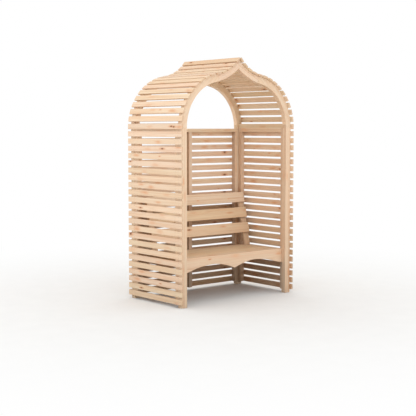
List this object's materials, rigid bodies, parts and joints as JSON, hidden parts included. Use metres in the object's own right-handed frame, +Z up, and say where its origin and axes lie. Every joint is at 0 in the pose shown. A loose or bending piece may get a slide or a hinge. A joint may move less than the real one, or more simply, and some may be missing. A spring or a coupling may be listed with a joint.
{
  "type": "arbour seat",
  "caption": "Free-standing slatted softwood arbour with an ogee roof, a rear window, a bench seat with a scalloped apron and a three-board raked backrest.",
  "frame": {"origin": "on the ground, under the middle of the overall box, level with the feet of the four posts", "axes": "+X across the seat, to the right of someone who looks in from the front, +Y from the open front to the back, +Z up"},
  "size_m": [1.3, 0.75, 2.101],
  "materials": {
    "frame_wood": "planed, unfinished",
    "slat_wood": "planed, unfinished",
    "seat_wood": "planed, unfinished"
  },
  "bodies": {
    "root": {"front_right_post": "frame_wood", "front_left_post": "frame_wood", "rear_right_post": "frame_wood", "rear_left_post": "frame_wood", "front_right_arch_shoulder": "frame_wood", "front_right_arch_crown": "frame_wood", "front_left_arch_shoulder": "frame_wood", "front_left_arch_crown": "frame_wood", "rear_right_arch_shoulder": "frame_wood", "rear_right_arch_crown": "frame_wood", "rear_left_arch_shoulder": "frame_wood", "rear_left_arch_crown": "frame_wood", "right_side_wall": "slat_wood", "left_side_wall": "slat_wood", "right_roof_rail": "frame_wood", "left_roof_rail": "frame_wood", "right_roof_slat_01": "slat_wood", "right_roof_slat_02": "slat_wood", "right_roof_slat_03": "slat_wood", "right_roof_slat_04": "slat_wood", "right_roof_slat_05": "slat_wood", "right_roof_slat_06": "slat_wood", "right_roof_slat_07": "slat_wood", "right_roof_slat_08": "slat_wood", "right_roof_slat_09": "slat_wood", "right_roof_slat_10": "slat_wood", "right_roof_slat_11": "slat_wood", "right_roof_slat_12": "slat_wood", "right_roof_slat_13": "slat_wood", "right_roof_slat_14": "slat_wood", "left_roof_slat_01": "slat_wood", "left_roof_slat_02": "slat_wood", "left_roof_slat_03": "slat_wood", "left_roof_slat_04": "slat_wood", "left_roof_slat_05": "slat_wood", "left_roof_slat_06": "slat_wood", "left_roof_slat_07": "slat_wood", "left_roof_slat_08": "slat_wood", "left_roof_slat_09": "slat_wood", "left_roof_slat_10": "slat_wood", "left_roof_slat_11": "slat_wood", "left_roof_slat_12": "slat_wood", "left_roof_slat_13": "slat_wood", "left_roof_slat_14": "slat_wood", "back_panel": "slat_wood", "window_sill_rail": "frame_wood", "seat_board_1": "seat_wood", "seat_board_2": "seat_wood", "seat_board_3": "seat_wood", "seat_board_4": "seat_wood", "seat_board_5": "seat_wood", "seat_apron": "seat_wood", "right_seat_bearer": "frame_wood", "left_seat_bearer": "frame_wood", "middle_seat_bearer": "frame_wood", "backrest_board_1": "seat_wood", "backrest_board_2": "seat_wood", "backrest_board_3": "seat_wood", "right_backrest_support": "seat_wood", "left_backrest_support": "seat_wood"}
  },
  "joints": []
}
